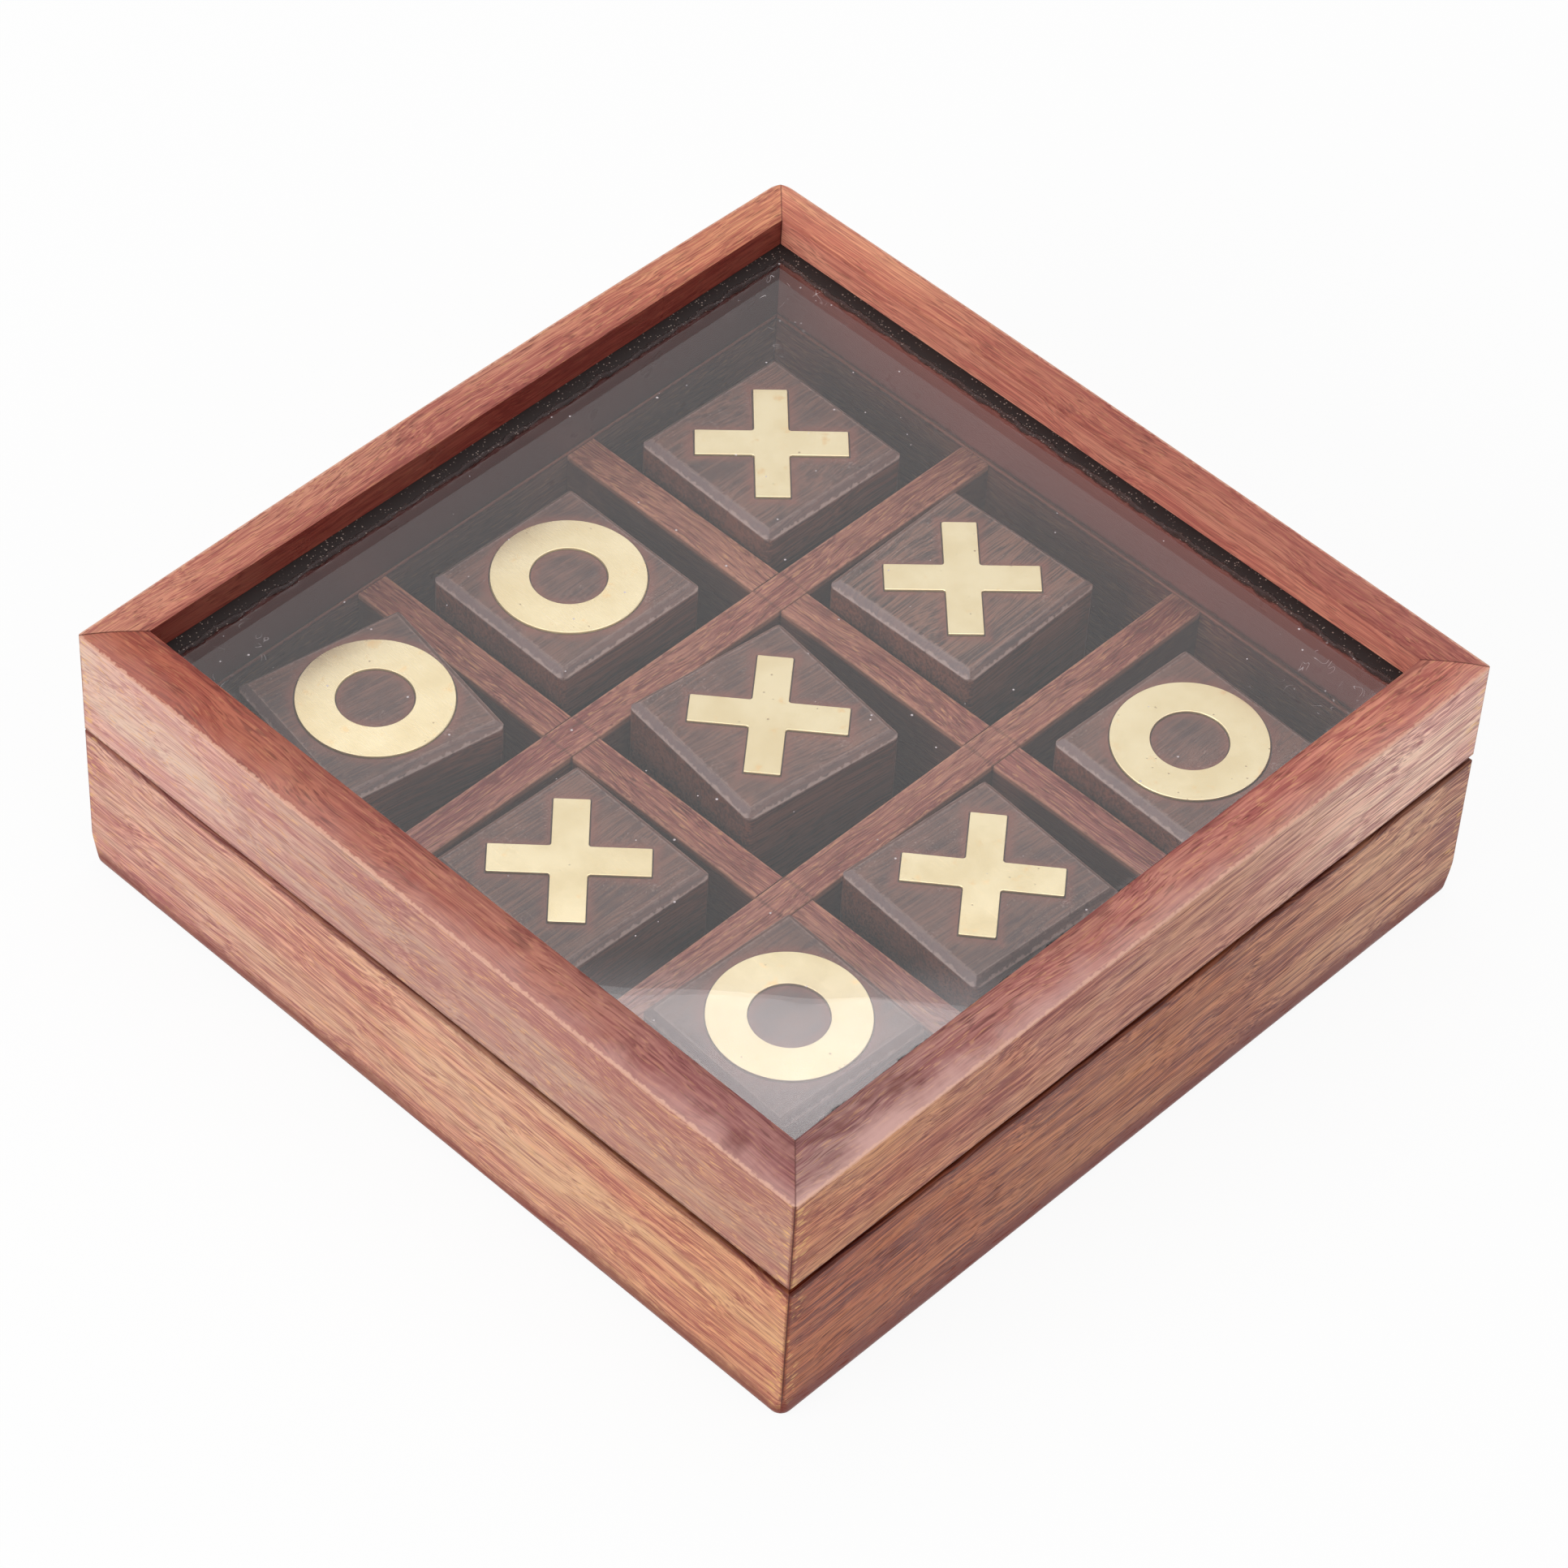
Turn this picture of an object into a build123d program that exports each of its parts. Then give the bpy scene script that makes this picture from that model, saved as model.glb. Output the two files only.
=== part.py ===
"""Noughts and crosses box: nine loose marked blocks in a divided hardwood box, under a hinged glass lid.

Millimetres, +Z up. The origin is the centre of the underside. The front is -Y and the hinges are at the
back, +Y. The lid is modelled closed. It was sawn and sanded a little out of true, so it gapes at the front.
"""
import os
from math import cos, hypot, radians, sin
from typing import NamedTuple

from build123d import *

# Box
side = 152.4                # outside length of each side, 6 in
wall = 7.8                  # thickness of the walls and of the lid's rails
base_height = 30.3          # underside to rim
floor_thickness = 5.0
rebate_width = 3.6          # how far the floor panel goes in under the walls
floor_clearance = 0.1       # floor panel to rebate, on each side
corner_round = 0.6          # upright outer corners
back_right_round = 2.6      # one corner is rubbed rounder than the rest
foot_round = 2.2            # outer bottom edges, and the corners there as a ball
foot_corner_height = 9.0    # up which the upright corners are rubbed rounder towards the foot
rim_round = 0.5             # outer edges on both sides of the joint between box and lid
inner_round = 0.3           # inner edges

# Lid
lid_height = 22.05          # at the back, its lower edge to its highest line
seat_gap = 0.15             # lid to rim at the back
front_gap = 1.2             # lid to rim along the front, where the lid's lower edge rises
glass_thickness = 2.5
glass_depth = 5.1           # highest line of the lid down to the groove
groove_depth = 3.0
glass_side_clearance = 0.3  # pane to the bottom of the groove
glass_clearance = 0.1       # pane to groove, above and below

# Strips that divide the box
centre_cell = 40.0          # clear width of the middle cell
strip_thickness = 6.0
long_strip_drop = 0.2       # rim down to the top of the unbroken strips
short_strip_drop = 0.4      # rim down to the top of the crossed strips
lap_clearance = 0.15        # on each side of a halving joint and under it
strip_end_clearance = 0.1
strip_round = 0.3

# Blocks
block_width = 30.0
block_height = 30.0
block_chamfer = 1.25
block_corner_round = 1.2
block_foot_chamfer = 0.5
block_seat = 0.05           # block to floor
cell_clearance = 0.4        # least gap between a block and the sides of its cell

# Brass marks
mark_margin = 2.5           # block's side to the mark's
mark_thickness = 1.0
mark_proud = 0.35
mark_clearance = 0.1        # mark to the sides of its recess
ring_bore = 12.4
cross_arm = 5.7
cross_inner_round = 0.5
cross_tip_round = 0.25
mark_edge_round = 0.12

# Hinges
hinge_spacing = 84.0        # centre to centre
hinge_length = 20.0
leaf_width = 6.0
leaf_thickness = 0.8
leaf_clearance = 0.05       # leaf to the sides of its mortise
knuckle_radius = 1.5
knuckle_stand_off = 0.2     # knuckle to the back of the box
middle_knuckle = 7.0        # length of the lid's knuckle
knuckle_gap = 0.15
pin_radius = 0.75
pin_clearance = 0.03
pin_end_round = 0.3
screw_spacing = 13.0
screw_head_radius = 1.5
screw_head_height = 0.7
screw_radius = 0.75
screw_length = 6.0
screw_point = 1.5
screw_slot_width = 0.35
screw_slot_depth = 0.3
screw_clearance = 0.03


class Crown(NamedTuple):
    """The lid's rounded top at one place: how far the opening's edge and the outer edge lie below its top."""

    inner: float
    outer: float


corner_crowns = {
    "front_left": Crown(0.5, 2.0),
    "front_right": Crown(0.2, 1.5),
    "back_right": Crown(0.0, 1.3),
    "back_left": Crown(0.2, 1.5),
}
middle_crowns = {
    "front": Crown(0.35, 2.0),
    "right": Crown(0.1, 0.9),
    "back": Crown(0.0, 0.25),
    "left": Crown(0.35, 2.2),
}
side_ends = {                # each side's corners, in the direction it is drawn in
    "front": ("front_left", "front_right"),
    "right": ("front_right", "back_right"),
    "back": ("back_right", "back_left"),
    "left": ("back_left", "front_left"),
}


class Lie(NamedTuple):
    """How one block lies in its cell, and its mark on it, as they were put down by hand."""

    mark: str
    right: float            # share of the block's free way in the cell, -1 to 1
    back: float
    turn: float             # degrees, anticlockwise
    mark_right: float       # millimetres off the block's centre
    mark_back: float
    mark_turn: float        # degrees, on the block


cells = {
    "front_left": Lie("ring", 0.84, 0.96, -2.6, 0.4, -0.6, 0.0),
    "front_centre": Lie("cross", -0.55, 0.74, -3.8, 0.6, 0.2, -2.2),
    "front_right": Lie("ring", -0.98, 0.07, -1.6, 0.2, 0.3, 0.0),
    "middle_left": Lie("cross", 0.45, 0.2, -2.0, 0.2, 0.6, 0.9),
    "middle_centre": Lie("cross", -0.58, 0.82, -6.8, 0.5, -0.4, 1.4),
    "middle_right": Lie("cross", -0.94, 0.38, 1.5, 0.2, 0.2, -0.6),
    "back_left": Lie("ring", 0.96, -0.34, -9.5, 0.9, 0.2, 0.0),
    "back_centre": Lie("ring", -0.73, -0.46, -0.8, 0.4, 0.0, 0.0),
    "back_right": Lie("cross", -0.95, -0.62, -1.7, 0.0, 0.1, 2.4),
}

overrun = 1.0               # how far bars and tools are drawn past what they are cut to

# Places that follow from the sizes
half = side / 2
inner_half = half - wall
strip_centre = (centre_cell + strip_thickness) / 2
outer_cell = inner_half - strip_centre - strip_thickness / 2
outer_cell_centre = inner_half - outer_cell / 2
lid_bottom = base_height + seat_gap
lid_top = lid_bottom + lid_height
groove_top = lid_top - glass_depth
groove_bottom = groove_top - glass_thickness - 2 * glass_clearance
pane_bottom = groove_bottom + glass_clearance
long_strip_top = base_height - long_strip_drop
short_strip_top = base_height - short_strip_drop
lap_level = (floor_thickness + long_strip_top) / 2
block_bottom = floor_thickness + block_seat
block_top = block_bottom + block_height
mark_bottom = block_top + mark_proud - mark_thickness
mark_top = block_top + mark_proud
mark_span = block_width - 2 * mark_margin
leaf_centre = half - leaf_width / 2
hinge_y = half + knuckle_stand_off + knuckle_radius
hinge_z = base_height + seat_gap / 2
hinge_places = {"left": -hinge_spacing / 2, "right": hinge_spacing / 2}
columns = {"left": -outer_cell_centre, "centre": 0.0, "right": outer_cell_centre}
rows = {"front": -outer_cell_centre, "middle": 0.0, "back": outer_cell_centre}
frame_turns = {"front": 0, "right": 90, "back": 180, "left": 270}

nodes = {}


def eased(outline, *corners):
    """Rounds the corners of a flat outline, each given as (across, up, radius)."""
    for across, up, radius in corners:
        corner = outline.vertices().sort_by_distance((across, up, 0))[0]
        outline = fillet(corner, radius)
    return outline


def wall_section():
    """Upright section of the front wall: rounded foot outside, rebate for the floor inside."""
    outer = -half
    inner = -inner_half
    shoulder = inner - rebate_width
    outline = make_face(Polyline(
        (outer, 0),
        (outer, base_height),
        (inner, base_height),
        (inner, floor_thickness),
        (shoulder, floor_thickness),
        (shoulder, 0),
        close=True,
    ))
    return eased(
        outline,
        (outer, 0, foot_round),
        (outer, base_height, rim_round),
        (inner, base_height, inner_round),
    )


def foot_corner(round_above):
    """What is rubbed off an upright corner at the foot, the corner standing at the origin, to its inside."""
    top = foot_corner_height
    meeting = foot_round * (1 - cos(radians(45))) - round_above * (1 - cos(radians(45)))
    kept = revolve(
        Plane.XZ * make_face(
            Polyline((foot_round, foot_round), (foot_round + 2 * meeting, top), (0, top), (0, 0))
            + ThreePointArc(
                (0, 0),
                (foot_round * sin(radians(45)), foot_round * (1 - cos(radians(45)))),
                (foot_round, foot_round),
            )
        ),
        Axis.Z,
    )
    reach = 2 * foot_round
    quarter = Box(reach, reach, top, align=Align.MIN)
    return Pos(-foot_round, -foot_round, 0) * (quarter - kept)


def crown_face(along, at):
    """Upright section of all that lies under the rounded top, wider than the rail, in the front rail's place."""
    inner = -inner_half
    outer = -half
    beyond = overrun
    ease = 1 + beyond / wall
    top = lid_top - at.inner
    fall = (at.outer - at.inner) * ease * ease
    outline = Polyline(
        (outer - beyond, top - fall),
        (outer - beyond, 0),
        (inner + beyond, 0),
        (inner + beyond, top),
        (inner, top),
    )
    rounded = TangentArc((inner, top), (outer - beyond, top - fall), tangent=(-1, 0))
    return Plane.YZ.offset(along) * make_face(outline + rounded)


def rail_bar(place):
    """The bar that one rail of the lid is cut from, in the front rail's place, with its lower edge and groove."""
    gaps = [front_gap if corner.startswith("front") else seat_gap for corner in side_ends[place]]
    slope = (gaps[1] - gaps[0]) / side
    bottom = base_height + gaps[0] - slope * overrun
    blank = eased(
        make_face(Polyline(
            (-half, bottom),
            (-inner_half, bottom),
            (-inner_half, lid_top + wall),
            (-half, lid_top + wall),
            close=True,
        )),
        (-half, bottom, rim_round),
        (-inner_half, bottom, inner_round),
    )
    length = side + 2 * overrun
    bar = extrude(Plane.YZ.offset(-half - overrun) * blank, length * hypot(1, slope), dir=(1, 0, slope))
    groove = Box(2 * side, 2 * groove_depth, groove_top - groove_bottom, align=(Align.CENTER, Align.CENTER, Align.MIN))
    return bar - Pos(0, -inner_half, groove_bottom) * groove


def crown(place):
    """All that lies under the rounded top of one rail, in the front rail's place."""
    start, end = side_ends[place]
    return loft([
        crown_face(-half - overrun, corner_crowns[start]),
        crown_face(0, middle_crowns[place]),
        crown_face(half + overrun, corner_crowns[end]),
    ])


def upright_corner(radius):
    """What is rounded off an upright corner that stands at the origin, to its inside, over the whole height."""
    reach = radius + overrun
    quarter = Box(reach, reach, 2 * lid_top, align=(Align.MIN, Align.MIN, Align.CENTER))
    return Pos(-radius, -radius, 0) * (quarter - Cylinder(radius, 3 * lid_top))


def frame_member(bar, place):
    """One side of a mitred frame, cut from a bar in the front's place, with the upright corners rounded."""
    reach = half + overrun
    mitres = extrude(make_face(Polyline((-reach, -reach), (reach, -reach), (0, 0), close=True)), 2 * lid_top)
    shape = Rot(Z=frame_turns[place]) * (bar & mitres)
    for turn in frame_turns.values():
        radius = corner_round if turn else back_right_round
        shape -= Rot(Z=turn) * Pos(half, half, 0) * upright_corner(radius)
    return shape


def make_wall(place):
    """One wall of the box, its outer corners rubbed round at the foot."""
    shape = frame_member(extrude(Plane.YZ * wall_section(), half + overrun, both=True), place)
    for turn in frame_turns.values():
        shape -= Rot(Z=turn) * Pos(half, half, 0) * foot_corner(corner_round)
    return shape


def make_rail(place):
    """One rail of the lid."""
    return frame_member(rail_bar(place) & crown(place), place)


def make_floor():
    """Panel let into the walls from below, flush with their underside."""
    width = 2 * (inner_half + rebate_width - floor_clearance)
    nodes["base_floor"] = extrude(Rectangle(width, width), floor_thickness)


def strip(top):
    """One strip along X, standing on the floor, with its upper edges eased."""
    outline = make_face(Polyline(
        (-strip_thickness / 2, floor_thickness),
        (strip_thickness / 2, floor_thickness),
        (strip_thickness / 2, top),
        (-strip_thickness / 2, top),
        close=True,
    ))
    outline = eased(outline, (strip_thickness / 2, top, strip_round), (-strip_thickness / 2, top, strip_round))
    return extrude(Plane.YZ * outline, inner_half - strip_end_clearance, both=True)


def make_strips():
    """Two unbroken strips from side to side, let down over two strips from front to back."""
    slot_width = strip_thickness + 2 * lap_clearance
    long_slots = []
    short_slots = []
    for along in (-strip_centre, strip_centre):
        slot = Box(slot_width, 2 * strip_thickness, base_height, align=(Align.CENTER, Align.CENTER, Align.MAX))
        long_slots.append(Pos(along, 0, lap_level) * slot)
        slot = Box(slot_width, 2 * strip_thickness, base_height, align=(Align.CENTER, Align.CENTER, Align.MIN))
        short_slots.append(Pos(along, 0, lap_level - lap_clearance) * slot)
    long_strip = strip(long_strip_top) - long_slots
    short_strip = Rot(Z=90) * (strip(short_strip_top) - short_slots)
    nodes["long_strip_front"] = Pos(0, -strip_centre, 0) * long_strip
    nodes["long_strip_back"] = Pos(0, strip_centre, 0) * long_strip
    nodes["short_strip_left"] = Pos(-strip_centre, 0, 0) * short_strip
    nodes["short_strip_right"] = Pos(strip_centre, 0, 0) * short_strip


def ring_outline(clearance):
    return Circle(mark_span / 2 + clearance) - Circle(ring_bore / 2 - clearance)


def cross_outline(clearance):
    """Two crossed bars of equal length along the block's diagonals."""
    outline = Rectangle(mark_span, cross_arm) + Rectangle(cross_arm, mark_span)
    inner = [v for v in outline.vertices() if max(abs(v.X), abs(v.Y)) < mark_span / 2 - cross_tip_round]
    outline = fillet(inner, cross_inner_round)
    tips = [v for v in outline.vertices() if max(abs(v.X), abs(v.Y)) > mark_span / 2 - cross_tip_round]
    outline = fillet(tips, cross_tip_round)
    if clearance:
        outline = offset(outline, clearance)
    return Rot(Z=45) * outline


mark_outlines = {"ring": ring_outline, "cross": cross_outline}


def make_mark(outline):
    """Flat brass mark with its upper edges just broken."""
    plate = extrude(outline(0), mark_thickness)
    return fillet(plate.faces().sort_by(Axis.Z)[-1].edges(), mark_edge_round)


def make_block():
    """Square block, chamfered round the top and a little round the foot."""
    block = extrude(Rectangle(block_width, block_width), block_height)
    block = chamfer(block.faces().sort_by(Axis.Z)[-1].edges(), block_chamfer)
    block = chamfer(block.faces().sort_by(Axis.Z)[0].edges(), block_foot_chamfer)
    return block & extrude(RectangleRounded(block_width, block_width, block_corner_round), block_height)


def free_way(cell_width, turn):
    """How far a turned block can move either way from the middle of its cell."""
    reach = block_width / 2 * (cos(radians(abs(turn))) + sin(radians(abs(turn))))
    return cell_width / 2 - cell_clearance - reach


def make_blocks():
    """The nine blocks as they lie in their cells, each with its mark let in flush with a shallow recess."""
    plain = make_block()
    marks = {kind: make_mark(outline) for kind, outline in mark_outlines.items()}
    for cell, lie in cells.items():
        row, column = cell.split("_")
        cell_width = centre_cell if column == "centre" else outer_cell
        cell_length = centre_cell if row == "middle" else outer_cell
        x = columns[column] + lie.right * free_way(cell_width, lie.turn)
        y = rows[row] + lie.back * free_way(cell_length, lie.turn)
        place = Pos(x, y, block_bottom) * Rot(Z=lie.turn)
        on_block = Pos(lie.mark_right, lie.mark_back, mark_bottom - block_bottom) * Rot(Z=lie.mark_turn)
        recess = extrude(mark_outlines[lie.mark](mark_clearance), block_height)
        nodes[f"block_{cell}"] = place * (plain - on_block * recess)
        nodes[f"{lie.mark}_{cell}"] = place * on_block * marks[lie.mark]


def screw():
    """Countersunk screw pointing down, its slotted head level with Z = 0."""
    profile = make_face(Polyline(
        (0, 0),
        (screw_head_radius, 0),
        (screw_radius, -screw_head_height),
        (screw_radius, screw_point - screw_length),
        (0, -screw_length),
        close=True,
    ))
    slot = Box(2 * screw_head_radius, screw_slot_width, 2 * screw_slot_depth)
    return revolve(Plane.XZ * profile, Axis.Z) - Rot(Z=35) * slot


def screw_hole():
    """The space that a screw takes, with its clearance, open at the top."""
    head = screw_head_radius + screw_clearance
    shank = screw_radius + screw_clearance
    end = screw_length + screw_clearance
    profile = make_face(Polyline(
        (0, end),
        (head, end),
        (head, 0),
        (shank, -screw_head_height),
        (shank, screw_point - end),
        (0, -end),
        close=True,
    ))
    return revolve(Plane.XZ * profile, Axis.Z)


def at_screws(x, thing):
    """Both screw places of a leaf, in the plane of the rim."""
    return [Pos(x + along, leaf_centre, 0) * thing for along in (-screw_spacing / 2, screw_spacing / 2)]


def knuckle(start, end):
    """Barrel on the hinge's axis with the strap that joins it to its leaf. The leaf's top is at Z = 0."""
    length = end - start
    middle = (start + end) / 2
    barrel = Pos(middle, hinge_y, seat_gap / 2) * Rot(Y=90) * Cylinder(knuckle_radius, length)
    strap = Box(length, hinge_y - half, leaf_thickness, align=(Align.CENTER, Align.MIN, Align.MAX))
    return barrel + Pos(middle, half, 0) * strap


def leaf(x, knuckles):
    """Leaf of a hinge, its top at Z = 0, with its knuckles, given by where they start and end."""
    plate = Box(hinge_length, leaf_width, leaf_thickness, align=(Align.CENTER, Align.MAX, Align.MAX))
    shape = Pos(0, half, 0) * plate
    for start, end in knuckles:
        shape += knuckle(start, end)
    shape -= Pos(0, hinge_y, seat_gap / 2) * Rot(Y=90) * Cylinder(pin_radius + pin_clearance, 2 * hinge_length)
    return Pos(x, 0, 0) * shape - at_screws(x, screw_hole())


def mortise(x):
    """Space that a leaf's plate takes in the wood, its top at Z = 0."""
    plate = Box(
        hinge_length + 2 * leaf_clearance,
        leaf_width + leaf_clearance,
        leaf_thickness,
        align=(Align.CENTER, Align.MAX, Align.MAX),
    )
    return Pos(x, half, 0) * plate


def on_rim(shape):
    return Pos(0, 0, base_height) * shape


def on_lid(shape):
    """Turns what is drawn for the rim over, end for end, onto the lid's lower edge."""
    return Pos(0, 0, lid_bottom) * mirror(shape, Plane.XY)


def make_hinges():
    """Two butt hinges let into the back wall and the back rail, with their screws."""
    end = hinge_length / 2
    middle = middle_knuckle / 2
    outer_knuckles = [(-end, -middle - knuckle_gap), (middle + knuckle_gap, end)]
    middle_knuckles = [(-middle, middle)]
    pin = Rot(Y=90) * Cylinder(pin_radius, hinge_length)
    pin = fillet(pin.edges().filter_by(GeomType.CIRCLE), pin_end_round)
    base_screws = []
    lid_screws = []
    for name, x in hinge_places.items():
        nodes[f"hinge_{name}_base_leaf"] = on_rim(leaf(x, outer_knuckles))
        nodes[f"hinge_{name}_lid_leaf"] = on_lid(leaf(x, middle_knuckles))
        nodes[f"hinge_{name}_pin"] = Pos(x, hinge_y, hinge_z) * pin
        base_screws += [on_rim(one) for one in at_screws(x, screw())]
        lid_screws += [on_lid(one) for one in at_screws(x, screw())]
        for cut in [mortise(x)] + at_screws(x, screw_hole()):
            nodes["base_wall_back"] -= on_rim(cut)
            nodes["lid_rail_back"] -= on_lid(cut)
    nodes["hinge_base_screws"] = Compound(children=base_screws)
    nodes["hinge_lid_screws"] = Compound(children=lid_screws)


def make_frames():
    """The box's walls, the lid's rails and the pane."""
    for place in frame_turns:
        nodes[f"base_wall_{place}"] = make_wall(place)
        nodes[f"lid_rail_{place}"] = make_rail(place)
    width = 2 * (inner_half + groove_depth - glass_side_clearance)
    nodes["glass_pane"] = Pos(0, 0, pane_bottom) * extrude(Rectangle(width, width), glass_thickness)


make_floor()
make_strips()
make_blocks()
make_frames()
make_hinges()

os.makedirs("parts", exist_ok=True)
for name, shape in nodes.items():
    export_step(shape, f"parts/{name}.step")
print(len(nodes), "nodes written")
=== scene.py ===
"""Looks of the noughts and crosses box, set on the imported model.

The front is -Y, the hinges are at the back, +Y, and the camera stands off the front left corner.
Sizes are in millimetres unless a name says metres. Colours are written as 8-bit sRGB.
"""
import math
from typing import NamedTuple

import bpy
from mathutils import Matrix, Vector


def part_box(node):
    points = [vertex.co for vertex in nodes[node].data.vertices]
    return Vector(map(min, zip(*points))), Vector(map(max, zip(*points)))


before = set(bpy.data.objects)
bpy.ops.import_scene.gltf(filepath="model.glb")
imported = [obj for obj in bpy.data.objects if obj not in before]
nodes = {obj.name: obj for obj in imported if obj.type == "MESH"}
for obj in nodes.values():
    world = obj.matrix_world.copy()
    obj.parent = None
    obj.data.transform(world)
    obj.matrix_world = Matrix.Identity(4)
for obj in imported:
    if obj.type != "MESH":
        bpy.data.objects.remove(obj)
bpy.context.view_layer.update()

millimetres = 1000.0        # in one metre

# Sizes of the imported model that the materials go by
half = 76.2                 # centre to the outer faces
inner_half = 68.4           # centre to the inner faces
base_height = 30.3
back_gap = 0.15             # rim to lid at the back
front_gap = 1.2             # rim to lid at the front
lid_top = 52.5
pane_top = 47.3
block_half = 15.0
block_top = 35.05
chamfer = 1.25
mark_half = 12.5
ring_bore_half = 6.2
cross_arm_half = 2.85
strip_centre = 23.0
strip_half = 3.0

# How they were made and used, and the painted glare on the pane
glare_share = 0.18          # how much the painted glare, a milky film over the pane's front left corner, hides
glare_rise = 0.12           # what it gains on its way into the corner
brass_lean = 0.0023         # rise over run of the marks to the left and to the front, as they were let in

# Camera, from the photograph
camera_place = (-0.45338, -0.40640, 0.67690)
camera_target = (-0.00378, -0.00434, 0.0275)
camera_roll = 3.576         # degrees
camera_lens = 131.656
camera_sensor = 36.0
camera_near = 0.01          # metres
camera_far = 50             # metres

# Light
white = (1.0, 1.0, 1.0, 1.0)
world_level = 0.6           # of the white surroundings, for light that falls on the object
key_power = 3.4             # watts
fill_power = 1.0            # watts
top_power = 2.5             # watts
top_height = 70.9           # degrees up: its lower edge is mirrored near the front corner of the pane
top_turn = 41.5             # degrees from the right towards the back
top_distance = 1.1          # metres
top_size = 0.7              # metres
key_place = (-0.85, 0.12, 0.42)
fill_place = (0.1, -0.9, 0.4)
side_lamp_size = 0.6        # metres
side_lamp_target = (0, 0, 0.03)
top_target = (0, 0, 0)

# Table top
table_width = 6.0           # metres
table_white = 0.92          # how far the camera sees it as white as the surroundings


def srgb(red, green, blue):
    """A colour written as 0 to 255, as the renderer's linear values."""
    values = []
    for part in (red, green, blue):
        share = part / 255
        values.append(share / 12.92 if share <= 0.04045 else ((share + 0.055) / 1.055) ** 2.4)
    return (*values, 1.0)


def even(red, green, blue):
    """One sRGB colour for the low end, the middle and the high end of a face."""
    return (srgb(red, green, blue),) * 3


def shaded(colour, red, green=None, blue=None):
    """A colour with its parts multiplied, by one factor or by three."""
    factors = (red, red if green is None else green, red if blue is None else blue)
    return tuple(min(1.0, part * factor) for part, factor in zip(colour, factors)) + (1.0,)


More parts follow.
